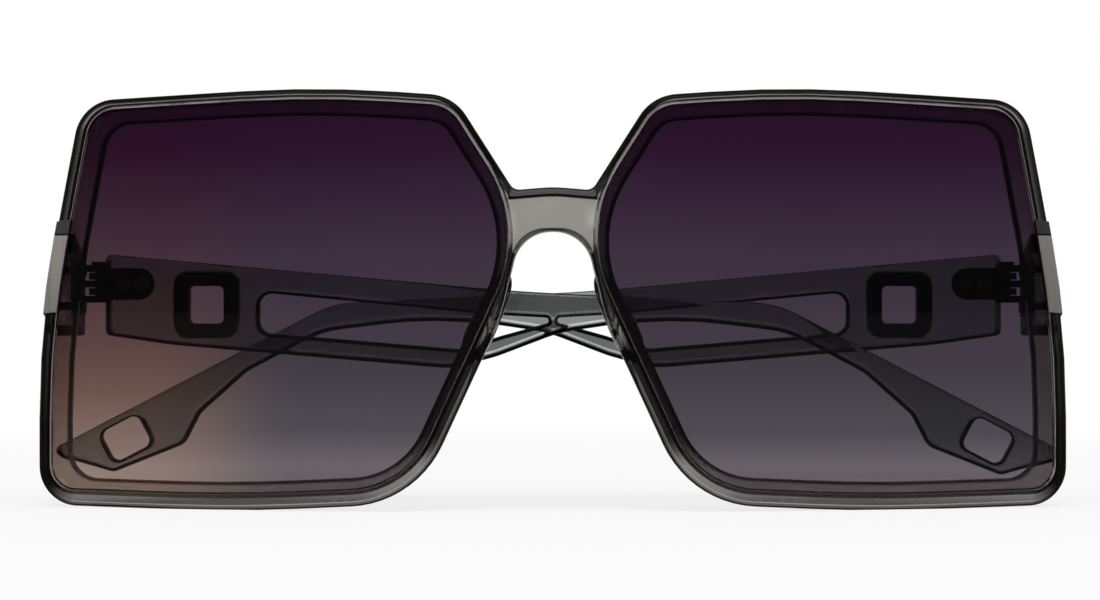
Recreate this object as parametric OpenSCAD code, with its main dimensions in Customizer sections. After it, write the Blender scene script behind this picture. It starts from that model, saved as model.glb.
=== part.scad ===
// Oversized square sunglasses, folded. A moulded front holds two curved lenses, and two side
// arms turn on five-knuckle hinges behind metal corner plates.
// Millimetres, +Z up. The front faces -Y, and right and left are the wearer's.

/* [Lenses] */
// Width of one lens as seen, from its sharp nasal corner to its outer lower corner
lens_w = 66.8; // [63:0.1:70]
// Height of one lens as seen
lens_h = 54.8; // [51:0.1:58]
// Distance between the sharp nasal corners of the two lenses
lens_gap = 7.7; // [7:0.1:9]
// Thickness of a lens
lens_t = 1.9; // [1.7:0.1:2.2]
// How far a lens reaches into the groove of its rim
lens_bite = 0.8; // [0.6:0.05:0.9]

/* [Front] */
// Radius of the ball that the front is curved to
face_r = 240; // [220:1:280]
// Thickness of the rims from front to back
rim_t = 4.6; // [4.4:0.1:5.2]
// Thickness of the lip in front of a lens
lip_t = 0.9; // [0.8:0.05:1.1]
// How far the rim reaches inward behind a lens at the top, past the edge seen in front
flange_top = 2; // [1.4:0.1:2.4]
// The same at the side
flange_side = 2.7; // [2:0.1:3]
// The same at the bottom
flange_bottom = 1.4; // [1.2:0.1:2]
// The same beside the nose
flange_nose = 1.1; // [0.9:0.1:1.6]
// The same from the bridge up to the brow
flange_brow = 1.8; // [1.2:0.1:2.2]
// Width of the rims above the lenses
rim_top = 1.65; // [1.5:0.05:2]
// Width of the rims at the sides
rim_side = 2; // [1.9:0.05:2.4]
// Width of the rims below the lenses
rim_bottom = 2.5; // [2.2:0.05:2.9]
// Width of the rims beside the nose
rim_nose = 2.3; // [2:0.05:2.7]
// Width of the rims from the bridge up to the brow
rim_brow = 1.45; // [1.3:0.05:1.8]
// Height of the flat cut under the rims, which the front stands on
foot_cut = 0.2; // [0.15:0.05:0.3]
// Height of the top of the bridge above the lowest edge of the lenses, as a share of theirs
bridge_share = 0.7665; // [0.74:0.0005:0.79]
// Height of the bridge bar
bridge_h = 5.7; // [5:0.1:6.5]
// Width of the arch under the bridge, half way up
arch_w = 12.4; // [12:0.1:13]
// How far the top of the bridge is crowned
bridge_crown = 0.45; // [0.2:0.05:0.8]

/* [Nose pads] */
// Length of a nose pad
pad_l = 13; // [11:0.1:14]
// Radius of a nose pad
pad_r = 2.3; // [2:0.1:2.4]

/* [Hinges] */
// Distance of each pivot from the outer edge of the front
hinge_inset = 7.3; // [7.1:0.05:7.5]
// How far the pivots lie behind the back of the rims
endpiece_l = 5.25; // [5:0.05:6.5]
// Radius of the hinge knuckles
knuckle_r = 1.55; // [1.45:0.05:1.65]
// Height of one knuckle
knuckle_h = 1; // [0.9:0.05:1.2]
// Thickness of the hinge leaves
leaf_t = 0.8; // [0.7:0.05:0.9]
// Radius of the pivot screws
pivot_r = 0.7; // [0.6:0.05:0.8]
// Radius of the screws that hold the leaves
screw_r = 0.6; // [0.5:0.05:0.7]
// Angle of an open arm past square with the front
splay = 4; // [2:0.5:5]

/* [Side arms] */
// Length of an arm from its pivot to the tip
arm_l = 137.4; // [134:0.1:139]
// Height of the head of an arm at its hinge
head_h = 11.9; // [11.5:0.1:13]
// Thickness of the head at its hinge
head_t = 3.6; // [3.2:0.1:3.8]
// Thickness of the bars behind the head
arm_t = 2.5; // [2.3:0.05:2.6]
// Thickness of the tail
tail_t = 2.3; // [2.1:0.05:2.4]
// Drop of the tail from its bend to its lowest corner
tail_drop = 24.5; // [23.5:0.1:25.5]
// Width of the ornament ring, as a share of the height of the head
ring_w_share = 0.773; // [0.7:0.01:0.8]
// Height of the ornament ring, as a share of the height of the head
ring_h_share = 0.807; // [0.75:0.01:0.82]
// Width of the bar of the ornament ring
ring_bar = 2.1; // [1.6:0.1:2.4]
// Length of the window near the tip, as a share of the drop of the tail
window_l_share = 0.253; // [0.2:0.01:0.27]
// Height of the window near the tip, as a share of the drop of the tail
window_h_share = 0.2; // [0.16:0.01:0.21]

/* [Corner plates] */
// Thickness of the corner plates
plate_t = 0.8; // [0.7:0.05:0.9]
// How far the corner plates stand proud of the front
plate_proud = 0.15; // [0.1:0.05:0.3]
// Width of the front lip of a corner plate
plate_lip = 1.85; // [1.6:0.05:1.85]

/* [Hidden] */

// Clearances and the overrun of every cut
fit = 0.04;
running_fit = 0.05;
knuckle_gap = 0.1;
butt_gap = 0.15;
over = 1;

// Smoothness of balls, bores and arcs
ball_fn = 300;
round_fn = 48;
pad_fn = 30;
arc_step = 8;
arc_least = 4;

// Heights that the rest follows
lens_low = rim_bottom - foot_cut;
ball_z = lens_low + 0.491 * lens_h;
hinge_z = lens_low + 0.533 * lens_h;

// Corners of a lens, clockwise from the upper nasal one: share of its width, share of its
// height, and the share of the shorter edge beside the corner that its rounding takes up
lens_shares = [
    [0.158, 0.976, 0.14], [0.426, 1, 0.582], [0.911, 0.973, 0.102], [0.995, 0.414, 0.554],
    [1, 0.008, 0.143], [0.601, 0, 0.345], [0.248, 0.022, 0.319], [0, 0.673, 0.5]
];
rim_widths = [
    rim_top, rim_top, rim_side, rim_side, rim_bottom, rim_bottom, rim_nose, rim_brow
];
flange_widths = [
    flange_top, flange_top, flange_side, flange_side, flange_bottom, flange_bottom,
    flange_nose, flange_brow
];

// Pivots, measured from the front of the bridge
side_x = lens_gap / 2 + 0.995 * lens_w + rim_side;
hinge_x = side_x - hinge_inset;
hinge_y = ball_y(face_r, side_x, ball_z) + rim_t + endpiece_l;
butt_y = hinge_y - butt_gap;
arm_in = knuckle_r + 0.29 * knuckle_r;

// The folded arms: the wearer's right one leans in until its tip, or the side of the rim that
// it passes, nearly meets it, and the left one leans out to pass behind the right one's head
tip_clear = 0.5;
arm_clear = 0.4;
tip_z = hinge_z - 1.975 * head_h;
tip_s = min(arm_l, side_x + hinge_x);
tip_rim_y = ball_y(face_r - rim_t, tip_s - hinge_x, tip_z);
fold_right = -asin((hinge_y + arm_in - tip_clear - tip_rim_y) / tip_s);
pass_s = 0.138 * arm_l;
fold_left = asin((arm_t + arm_clear + pass_s * sin(fold_right)) / (2 * hinge_x - pass_s));

// The origin lies under the middle of the whole
depth = hinge_y + arm_in + tail_t + arm_l * sin(fold_left);
front_y = -depth / 2;

// Depth at which a ball about the centre of the face curve passes a point of the front view
function ball_y(r, x, z) = face_r - sqrt(r * r - x * x - (z - ball_z) * (z - ball_z));

// Outline functions: a corner is [x, z, radius]
function flat(p) = [p[0], p[1]];
function unit(v) = v / norm(v);
function turn_of(a, b) = atan2(a[0] * b[1] - a[1] * b[0], a * b);

function corner_arc(before, p, after, r) =
    let (
        u = unit(before - p),
        v = unit(after - p),
        half = abs(turn_of(u, v)) / 2,
        centre = p + unit(u + v) * r / sin(half),
        first = p + u * r / tan(half) - centre,
        last = p + v * r / tan(half) - centre,
        swing = turn_of(first, last),
        steps = max(arc_least, ceil(abs(swing) / arc_step))
    )
    [for (i = [0:steps]) centre + turned(first, swing * i / steps)];

function turned(v, angle) =
    [v[0] * cos(angle) - v[1] * sin(angle), v[0] * sin(angle) + v[1] * cos(angle)];

function rounded(corners) =
    let (n = len(corners))
    [for (i = [0:n - 1])
        let (p = corners[i])
        each (p[2] == 0 ? [flat(p)] : corner_arc(
            flat(corners[(i + n - 1) % n]), flat(p), flat(corners[(i + 1) % n]), p[2]
        ))
    ];

// Outward direction of the edge that leaves corner i of a clockwise outline
function edge_out(corners, i) =
    let (d = unit(flat(corners[(i + 1) % len(corners)]) - flat(corners[i])))
    [-d[1], d[0]];

// Clockwise outline with each edge moved outward by its own width
function grown(corners, widths) =
    let (n = len(corners))
    [for (i = [0:n - 1])
        let (
            before = (i + n - 1) % n,
            a = edge_out(corners, before),
            b = edge_out(corners, i),
            p = flat(corners[i]),
            ka = a * p + widths[before],
            kb = b * p + widths[i],
            det = a[0] * b[1] - a[1] * b[0]
        )
        [
            (ka * b[1] - kb * a[1]) / det,
            (kb * a[0] - ka * b[0]) / det,
            corners[i][2] + (widths[before] + widths[i]) / 2
        ]
    ];

function alike(width) = [for (w = rim_widths) width];

// Radius whose rounding takes up a share of the shorter edge beside corner i
function share_r(corners, i, share) =
    let (
        n = len(corners),
        u = flat(corners[i]) - flat(corners[(i + n - 1) % n]),
        v = flat(corners[(i + 1) % n]) - flat(corners[i])
    )
    share * min(norm(u), norm(v)) / tan(abs(turn_of(u, v)) / 2);

function x_on(p, q, z) = p[0] + (z - p[1]) * (q[0] - p[0]) / (q[1] - p[1]);
function z_on(p, q, x) = p[1] + (x - p[0]) * (q[1] - p[1]) / (q[0] - p[0]);

// Lens edge as seen, and the outlines that follow it
lens_points = [for (c = lens_shares) [lens_gap / 2 + c[0] * lens_w, lens_low + c[1] * lens_h]];
lens_corners = [
    for (i = [0:len(lens_points) - 1])
        [lens_points[i][0], lens_points[i][1], share_r(lens_points, i, lens_shares[i][2])]
];
rim_corners = grown(lens_corners, rim_widths);

// Edge of the opening behind a lens, whose corners stay as round as the lens
flange_r = 0.07 * lens_h;
flange_corners = [
    for (c = grown(lens_corners, [for (w = flange_widths) -w])) [c[0], c[1], max(c[2], flange_r)]
];

// Outline of the whole front: the left half with the bridge, then its mirror image
bridge_z = lens_low + bridge_share * lens_h;
brow_fillet = 0.26 * bridge_h;
nose_fillet = 4.5 * bridge_h;
brow_low = [x_on(rim_corners[7], rim_corners[0], bridge_z), bridge_z, brow_fillet];
arch_top = [0.351 * arch_w, bridge_z - bridge_h, 0.427 * arch_w];
nose_x = 0.59 * arch_w;
nose_side = [nose_x, z_on(rim_corners[6], rim_corners[7], nose_x), nose_fillet];
half_front = concat(
    [brow_low],
    [for (i = [0:6]) rim_corners[i]],
    [nose_side, arch_top]
);
front_corners = concat(
    [[0, bridge_z + bridge_crown, face_r / 12]],
    half_front,
    [for (i = [len(half_front) - 1:-1:0]) [-half_front[i][0], half_front[i][1], half_front[i][2]]]
);

// Places every piece from the front of the bridge to the shared frame
module placed() {
    translate([0, front_y, 0]) children();
}

// Extrudes a front view from y = from to y = to
module front_slab(from, to) {
    translate([0, to, 0]) rotate([90, 0, 0]) linear_extrude(to - from) children();
}

// Extrudes a side view, drawn as depth and height, from x = from to x = to
module side_slab(from, to) {
    translate([from, 0, 0]) rotate([90, 0, 90]) linear_extrude(to - from) children();
}

// Solid ball about the centre of the face curve
module ball(r) {
    translate([0, face_r, ball_z]) sphere(r = r, $fn = ball_fn);
}

// Both sides of what is drawn for the wearer's left
module both_sides() {
    children();
    mirror([1, 0, 0]) children();
}

// Column behind an outline, and behind a lens outline that is moved outward by a width
module column(corners) {
    front_slab(-over, butt_y) polygon(rounded(corners));
}

module lens_column(width) {
    column(grown(lens_corners, alike(width)));
}

// Space for a lens, its groove and the opening behind it
module lens_cuts() {
    difference() {
        union() {
            lens_column(0);
            intersection() {
                lens_column(lens_bite + fit);
                ball(face_r - lip_t);
            }
        }
        ball(face_r - lip_t - lens_t);
    }
    column(flange_corners);
}

// Endpieces. In the side view they slope from the rim down to the head of the arm.
end_top = hinge_z + 0.84 * head_h;
end_low = hinge_z - 0.345 * head_h;
head_top = hinge_z + 0.361 * head_h;
head_low = hinge_z - 0.63 * head_h;
end_front_y = ball_y(face_r, side_x, ball_z) - 3 * plate_t;
end_x = hinge_x + arm_in;

function end_profile(margin) = [
    [end_front_y, end_low + margin], [end_front_y, end_top - margin],
    [butt_y, head_top - margin], [butt_y, head_low + margin]
];

// Band that follows the outer edge of the left rim, from a margin outside to one inside
module edge_band(outside, inside) {
    difference() {
        polygon(rounded(grown(rim_corners, alike(outside))));
        polygon(rounded(grown(rim_corners, alike(-inside))));
    }
}

module endpiece() {
    intersection() {
        front_slab(end_front_y, butt_y) difference() {
            polygon(rounded(rim_corners));
            translate([-over, -over]) square([end_x + over, lens_h + 2 * hinge_z]);
        }
        side_slab(end_x - over, side_x + over) polygon(end_profile(0));
        ball(face_r - rim_t + lens_t / 2);
    }
}

// Corner plate: a lip on the front of the rim and a leg along the side to the hinge.
// Its upper end is bevelled. Slack grows it to cut its seat.
plate_margin = 0.04 * head_h;
bevel_low = end_top - 0.2 * head_h;

module corner_plate(slack) {
    intersection() {
        side_slab(end_x - over, side_x + 2 * over) polygon(end_profile(plate_margin - slack));
        union() {
            difference() {
                front_slab(-over, butt_y + slack)
                    edge_band(plate_proud + slack, plate_lip + slack);
                ball(face_r - plate_t + plate_proud - slack);
            }
            front_slab(-over, butt_y + slack)
                edge_band(plate_proud + slack, plate_t - plate_proud + slack);
        }
        ball(face_r + plate_proud + slack);
    }
}

module front_frame() {
    color([0.42, 0.43, 0.41, 0.6]) placed() difference() {
        union() {
            difference() {
                intersection() {
                    front_slab(-over, butt_y) intersection() {
                        polygon(rounded(front_corners));
                        translate([-2 * side_x, 0]) square([4 * side_x, 2 * lens_h]);
                    }
                    ball(face_r);
                }
                ball(face_r - rim_t);
                both_sides() lens_cuts();
            }
            both_sides() endpiece();
        }
        both_sides() {
            corner_plate(fit);
            leaf_plate(end_leaf_y - fit, butt_y + over, end_leaf_z, end_leaf_h + 2 * fit, leaf_t + fit);
            end_screw_places() rotate([0, 90, 0]) cylinder(
                h = screw_l + fit, r = screw_r + fit, $fn = round_fn
            );
        }
    }
}

module lens() {
    intersection() {
        lens_column(lens_bite);
        difference() {
            ball(face_r - lip_t - fit);
            ball(face_r - lip_t - lens_t + fit);
        }
    }
}

module lens_left() { color([0.30, 0.20, 0.30, 0.75]) placed() lens(); }
module lens_right() { color([0.30, 0.20, 0.30, 0.75]) placed() mirror([1, 0, 0]) lens(); }

// Nose pad: a drop along the rim beside the nose, narrower above, cut flat where it is bonded
// to the rim. Its flat clears the hollow back of the rim by the rise of the curve over its length.
pad_z = lens_low + 0.451 * lens_h;
pad_lean = atan2(rim_corners[7][0] - rim_corners[6][0], rim_corners[7][1] - rim_corners[6][1]);
pad_x = x_on(rim_corners[6], rim_corners[7], pad_z) + 0.88 * rim_nose;
pad_y = ball_y(face_r - rim_t, pad_x, pad_z) + pad_l * pad_l / (8 * face_r) + fit / 2;
pad_sunk = 0.25 * pad_r;
pad_top_r = 0.7 * pad_r;

module nose_pad() {
    translate([pad_x, pad_y, pad_z])
        rotate([asin((ball_z - pad_z) / face_r), 0, asin(pad_x / face_r)])
        rotate([0, pad_lean, 0]) intersection() {
            translate([0, pad_sunk, 0]) hull() {
                translate([0, 0, pad_r - pad_l / 2]) sphere(r = pad_r, $fn = pad_fn);
                translate([0, 0, pad_l / 2 - pad_top_r]) sphere(r = pad_top_r, $fn = pad_fn);
            }
            translate([-pad_l, 0, -pad_l]) cube([2 * pad_l, 2 * pad_l, 2 * pad_l]);
        }
}

module nose_pad_left() { color([0.62, 0.62, 0.60, 0.6]) placed() nose_pad(); }
module nose_pad_right() { color([0.62, 0.62, 0.60, 0.6]) placed() mirror([1, 0, 0]) nose_pad(); }

module end_trim() {
    difference() {
        corner_plate(0);
        // bevel of the upper end
        translate([side_x + over, end_front_y, bevel_low]) rotate([0, -35, 0])
            translate([-2 * over, -end_front_y, 0]) cube([4 * over, 2 * butt_y, head_h]);
    }
}

module end_trim_left() { color([0.66, 0.64, 0.60]) placed() end_trim(); }
module end_trim_right() { color([0.66, 0.64, 0.60]) placed() mirror([1, 0, 0]) end_trim(); }

// Hinge leaf of the front: plate in the inner face of the endpiece with three knuckles
end_leaf_l = 0.95 * endpiece_l;
end_leaf_h = 0.7 * head_h;
end_leaf_y = butt_y - end_leaf_l;
end_leaf_z = hinge_z - 0.05 * head_h;
stack_h = 5 * knuckle_h + 4 * knuckle_gap;
screw_l = 3 * leaf_t;
screw_head_r = 1.8 * screw_r;
screw_head_h = 0.8 * screw_r;

module leaf_plate(from, to, mid_z, height, thick) {
    translate([end_x, from, mid_z - height / 2]) cube([thick, to - from, height]);
}

module end_screw_places() {
    for (end = [-1, 1])
        translate([end_x, end_leaf_y + 0.42 * end_leaf_l, end_leaf_z + end * 0.31 * end_leaf_h])
            children();
}

// Slotted screw along +Z whose head lies below z = 0
module slotted_screw(length, r, head_r, head_h) {
    difference() {
        union() {
            cylinder(h = length, r = r, $fn = round_fn);
            translate([0, 0, -head_h]) cylinder(h = head_h, r = head_r, $fn = round_fn);
        }
        translate([-head_r - over, -head_r / 6, -head_h - over])
            cube([2 * (head_r + over), head_r / 3, over + head_h / 2]);
    }
}

// Heights of the knuckles, counted from the lowest
function knuckle_low(i) = hinge_z - stack_h / 2 + i * (knuckle_h + knuckle_gap);

module front_hinge() {
    difference() {
        union() {
            leaf_plate(end_leaf_y, butt_y, end_leaf_z, end_leaf_h, leaf_t);
            for (i = [0, 2, 4]) translate([hinge_x, hinge_y, knuckle_low(i)]) {
                cylinder(h = knuckle_h, r = knuckle_r, $fn = round_fn);
                translate([0, -knuckle_r, 0])
                    cube([arm_in + leaf_t, knuckle_r - 2 * butt_gap, knuckle_h]);
            }
        }
        translate([hinge_x, hinge_y, hinge_z - stack_h / 2 - over])
            cylinder(h = stack_h + 2 * over, r = pivot_r + fit / 2, $fn = round_fn);
        end_screw_places() rotate([0, 90, 0]) translate([0, 0, -over])
            cylinder(h = leaf_t + 2 * over, r = screw_r + fit, $fn = round_fn);
    }
}

module front_hinge_left() { color([0.12, 0.11, 0.11]) placed() front_hinge(); }
module front_hinge_right() { color([0.12, 0.11, 0.11]) placed() mirror([1, 0, 0]) front_hinge(); }

module front_hinge_screws() {
    end_screw_places() rotate([0, 90, 0])
        slotted_screw(screw_l, screw_r, screw_head_r, screw_head_h);
}

module front_hinge_screws_left() { color([0.35, 0.34, 0.33]) placed() front_hinge_screws(); }
module front_hinge_screws_right() {
    color([0.35, 0.34, 0.33]) placed() mirror([1, 0, 0]) front_hinge_screws();
}

module pivot_screw() {
    translate([hinge_x, hinge_y, hinge_z + stack_h / 2]) rotate([180, 0, 0])
        slotted_screw(stack_h, pivot_r, 1.7 * pivot_r, 0.7 * pivot_r);
}

module pivot_screw_left() { color([0.35, 0.34, 0.33]) placed() pivot_screw(); }
module pivot_screw_right() { color([0.35, 0.34, 0.33]) placed() mirror([1, 0, 0]) pivot_screw(); }

// Side arms are drawn with the pivot at x = 0 and y = 0, the tip towards +X and the outer
// face towards +Y, and then folded to their places
module folded_right() {
    placed() translate([-hinge_x, hinge_y, 0]) rotate([0, 0, fold_right]) children();
}

module folded_left() {
    placed() translate([hinge_x, hinge_y, 0]) mirror([1, 0, 0])
        rotate([0, 0, fold_left]) children();
}

// A point of the arm's head and bars: shares of arm_l, of head_h about the pivot's height,
// and a corner radius as a share of head_h
function arm_point(s) = [s[0] * arm_l, hinge_z + s[1] * head_h, s[2] * head_h];

// A point of the tail: shares of arm_l, of tail_drop below the bend, and of head_h
bend_share = [0.706, -0.235, 1.2];
bend_z = hinge_z + bend_share[1] * head_h;
function tail_point(s) = [s[0] * arm_l, bend_z - s[1] * tail_drop, s[2] * head_h];

arm_top_shares = [[-0.01, 0.362, 0], [0.437, -0.092, 25], bend_share];
tip_shares = [
    [1, 0.857, 0.07], [0.991, 0.914, 0.1], [0.938, 1, 0.13], [0.863, 0.833, 0.2],
    [0.846, 0.649, 0.17], [0.797, 0.404, 0.4]
];
arm_low_shares = [
    [0.717, -0.58, 1.2], [0.611, -0.429, 5], [0.539, -0.487, 2.5], [0.48, -0.588, 1.7],
    [0.415, -0.874, 1.2], [0.368, -1.025, 1], [0.073, -0.739, 5], [-0.01, -0.62, 0]
];
slot_shares = [
    [0.1645, -0.101, 0.15], [0.408, -0.37, 2.5], [0.484, -0.42, 0.035],
    [0.418, -0.63, 0.7], [0.375, -0.79, 0.4], [0.1645, -0.588, 0.15]
];
arm_corners = concat(
    [for (s = arm_top_shares) arm_point(s)],
    [for (s = tip_shares) tail_point(s)],
    [for (s = arm_low_shares) arm_point(s)]
);
slot_corners = [for (s = slot_shares) arm_point(s)];

// Rounded rectangle about a middle, as a clockwise outline
function plaque(mid, w, h, r) = rounded([
    [mid[0] - w / 2, mid[1] + h / 2, r], [mid[0] + w / 2, mid[1] + h / 2, r],
    [mid[0] + w / 2, mid[1] - h / 2, r], [mid[0] - w / 2, mid[1] - h / 2, r]
]);

ring_mid = [0.109 * arm_l, hinge_z - 0.252 * head_h];
ring_w = ring_w_share * head_h;
ring_h = ring_h_share * head_h;
ring_r = 0.24 * ring_w;
window_mid = [0.925 * arm_l, bend_z - 0.8 * tail_drop];
window_l = window_l_share * tail_drop;
window_h = window_h_share * tail_drop;
window_lean = -27.5;

// Thickness of the arm seen from above: the outer face steps in behind the hinge and
// once more at the tail
thin_s = 0.066 * arm_l;
tail_s = [0.6 * arm_l, 0.72 * arm_l];
arm_plan = [
    [-over, arm_in, 0], [-over, arm_in + head_t, 0], [0.01 * arm_l, arm_in + head_t, head_t],
    [thin_s, arm_in + arm_t, 4 * head_t], [tail_s[0], arm_in + arm_t, 0],
    [tail_s[1], arm_in + tail_t, 0], [arm_l + over, arm_in + tail_t, 0], [arm_l + over, arm_in, 0]
];

// Leaf of the arm, rounded at its far end
arm_leaf_l = 0.63 * head_h;
arm_leaf_h = 0.387 * head_h;

module arm_leaf(slack) {
    end_r = arm_leaf_h / 2 + slack;
    translate([0, arm_in + leaf_t + slack, hinge_z]) rotate([90, 0, 0])
        linear_extrude(leaf_t + slack) union() {
            translate([arm_leaf_l - end_r + slack, 0]) circle(r = end_r, $fn = round_fn);
            translate([2 * butt_gap - slack, -end_r])
                square([arm_leaf_l - end_r + 2 * slack - 2 * butt_gap, 2 * end_r]);
        }
}

module arm_screw_places() {
    for (share = [0.38, 0.76])
        translate([share * arm_leaf_l, arm_in, hinge_z]) rotate([-90, 0, 0]) children();
}

module temple() {
    difference() {
        intersection() {
            front_slab(0, 2 * head_h) difference() {
                polygon(rounded(arm_corners));
                polygon(rounded(slot_corners));
                polygon(plaque(ring_mid, ring_w + 2 * fit, ring_h + 2 * fit, ring_r + fit));
                translate(window_mid) rotate(window_lean)
                    polygon(plaque([0, 0], window_l, window_h, window_h / 4));
            }
            linear_extrude(3 * hinge_z) polygon(rounded(arm_plan));
        }
        // end face, which meets the endpiece squarely when the arm is open
        rotate([0, 0, -splay]) translate([-head_h, -head_h, 0])
            cube([head_h + butt_gap, 3 * head_h, 2 * hinge_z]);
        arm_leaf(fit);
        translate([0, arm_in - over, hinge_z - arm_leaf_h / 2 - fit])
            cube([4 * butt_gap, leaf_t + over + fit, arm_leaf_h + 2 * fit]);
        arm_screw_places()
            cylinder(h = 0.85 * screw_l + fit, r = screw_r + fit, $fn = round_fn);
    }
}

module temple_right() { color([0.42, 0.43, 0.41, 0.6]) folded_right() temple(); }
module temple_left() { color([0.42, 0.43, 0.41, 0.6]) folded_left() temple(); }

module temple_hinge() {
    difference() {
        union() {
            arm_leaf(0);
            for (i = [1, 3]) translate([0, 0, knuckle_low(i)]) {
                cylinder(h = knuckle_h, r = knuckle_r, $fn = round_fn);
                translate([2 * butt_gap, 0, 0])
                    cube([knuckle_r - 2 * butt_gap, arm_in + leaf_t, knuckle_h]);
            }
        }
        translate([0, 0, hinge_z - stack_h])
            cylinder(h = 2 * stack_h, r = pivot_r + running_fit, $fn = round_fn);
        arm_screw_places() translate([0, 0, -over])
            cylinder(h = leaf_t + 2 * over, r = screw_r + fit, $fn = round_fn);
    }
}

module temple_hinge_right() { color([0.12, 0.11, 0.11]) folded_right() temple_hinge(); }
module temple_hinge_left() { color([0.12, 0.11, 0.11]) folded_left() temple_hinge(); }

module temple_hinge_screws() {
    arm_screw_places() slotted_screw(0.85 * screw_l, screw_r, screw_head_r, screw_head_h);
}

module temple_hinge_screws_right() {
    color([0.35, 0.34, 0.33]) folded_right() temple_hinge_screws();
}
module temple_hinge_screws_left() {
    color([0.35, 0.34, 0.33]) folded_left() temple_hinge_screws();
}

// Ornament: a plain metal ring pressed into the head of the arm
module temple_ring() {
    front_slab(arm_in, arm_in + arm_t) difference() {
        polygon(plaque(ring_mid, ring_w, ring_h, ring_r));
        polygon(plaque(ring_mid, ring_w - 2 * ring_bar, ring_h - 2 * ring_bar, ring_r / 3));
    }
}

module temple_ring_right() { color([0.15, 0.13, 0.13]) folded_right() temple_ring(); }
module temple_ring_left() { color([0.15, 0.13, 0.13]) folded_left() temple_ring(); }

front_frame();
lens_right();
lens_left();
nose_pad_right();
nose_pad_left();
end_trim_right();
end_trim_left();
front_hinge_right();
front_hinge_left();
front_hinge_screws_right();
front_hinge_screws_left();
pivot_screw_right();
pivot_screw_left();
temple_right();
temple_left();
temple_hinge_right();
temple_hinge_left();
temple_hinge_screws_right();
temple_hinge_screws_left();
temple_ring_right();
temple_ring_left();
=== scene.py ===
import math

import bmesh
import bpy
import numpy as np
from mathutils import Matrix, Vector
from mathutils.geometry import delaunay_2d_cdt


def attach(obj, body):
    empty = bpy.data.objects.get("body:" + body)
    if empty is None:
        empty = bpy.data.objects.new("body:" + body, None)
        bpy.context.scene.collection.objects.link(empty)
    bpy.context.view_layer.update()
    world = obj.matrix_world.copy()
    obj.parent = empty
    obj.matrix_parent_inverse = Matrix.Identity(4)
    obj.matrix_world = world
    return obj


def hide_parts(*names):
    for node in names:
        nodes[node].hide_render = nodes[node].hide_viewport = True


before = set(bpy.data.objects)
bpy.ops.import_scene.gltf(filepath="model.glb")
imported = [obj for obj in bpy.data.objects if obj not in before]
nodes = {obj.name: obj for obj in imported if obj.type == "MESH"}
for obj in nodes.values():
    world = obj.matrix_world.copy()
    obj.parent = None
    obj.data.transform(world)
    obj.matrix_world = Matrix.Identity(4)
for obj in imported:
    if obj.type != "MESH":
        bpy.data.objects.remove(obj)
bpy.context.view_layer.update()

# Oversized sunglasses, folded, seen from the front. Lengths are in millimetres up to the mesh.
signs = {"right": -1, "left": 1}  # of x, on the wearer's right and left
mm = 0.001


# Corners are rows of x, z, radius. Each corner becomes an arc about the point that lies
# radius / sin(half the inner angle) along its bisector, and each edge between two arcs is cut
# into equal steps. Outlines that are counted like the same one get equally many points.
def roundCorners(corners, spacing, like=None, turnStep=6.0):
    c = np.asarray(corners, float)
    base = np.asarray(corners if like is None else like, float)[:, :2]
    leave = np.roll(base, -1, 0) - base
    lengths = np.linalg.norm(leave, axis=1)
    heading = np.unwrap(np.arctan2(leave[:, 1], leave[:, 0]))
    turns = np.abs((heading - np.roll(heading, 1) + math.pi) % (2 * math.pi) - math.pi)
    p, r = c[:, :2], c[:, 2]
    before, after = np.roll(p, 1, 0), np.roll(p, -1, 0)
    u = (before - p) / np.linalg.norm(before - p, axis=1)[:, None]
    v = (after - p) / np.linalg.norm(after - p, axis=1)[:, None]
    half = np.arccos(np.clip((u * v).sum(1), -1, 1)) / 2
    tangent = r / np.tan(half)
    bisector = (u + v) / np.linalg.norm(u + v, axis=1)[:, None]
    centre = p + bisector * (r / np.sin(half))[:, None]
    points = []
    for i in range(len(c)):
        n = (i + 1) % len(c)
        swing = math.pi - 2 * half[i]
        steps = max(3, math.ceil(round(math.degrees(turns[i]), 3) / turnStep))
        first = p[i] + u[i] * tangent[i] - centre[i]
        sign = -1 if u[i][0] * v[i][1] - u[i][1] * v[i][0] > 0 else 1
        a = sign * swing * np.linspace(0, 1, steps + 1)
        points.append(centre[i] + np.stack([first[0] * np.cos(a) - first[1] * np.sin(a),
                                            first[0] * np.sin(a) + first[1] * np.cos(a)], 1))
        pieces = max(1, round(lengths[i] / spacing))
        start, end = p[i] + v[i] * tangent[i], p[n] + u[n] * tangent[n]
        t = np.linspace(0, 1, pieces + 1)[1:-1, None]
        points.append(start + (end - start) * t)
    return np.concatenate(points)


# Moves each edge of a clockwise outline outward by its own width, and each corner to where
# its two moved edges meet. A corner's radius grows by the mean of the two widths.
def grow(corners, widths, leastRound=0.05):
    c = np.asarray(corners, float)
    w = np.broadcast_to(np.asarray(widths, float), (len(c),))
    d = np.roll(c[:, :2], -1, 0) - c[:, :2]
    out = np.stack([-d[:, 1], d[:, 0]], 1) / np.linalg.norm(d, axis=1)[:, None]
    a, b, wa = np.roll(out, 1, 0), out, np.roll(w, 1)
    ka, kb = (a * c[:, :2]).sum(1) + wa, (b * c[:, :2]).sum(1) + w
    det = a[:, 0] * b[:, 1] - a[:, 1] * b[:, 0]
    x = (ka * b[:, 1] - kb * a[:, 1]) / det
    z = (kb * a[:, 0] - ka * b[:, 0]) / det
    return np.stack([x, z, np.maximum(c[:, 2] + (wa + w) / 2, leastRound)], 1)


# Directions that a clockwise loop's outside faces: the step from the point before to the point
# after, turned a quarter to the left, at length 1
def outward(loop):
    d = np.roll(loop, -1, 0) - np.roll(loop, 1, 0)
    n = np.stack([-d[:, 1], d[:, 0]], 1)
    return n / np.maximum(np.linalg.norm(n, axis=1), 1e-9)[:, None]


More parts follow.
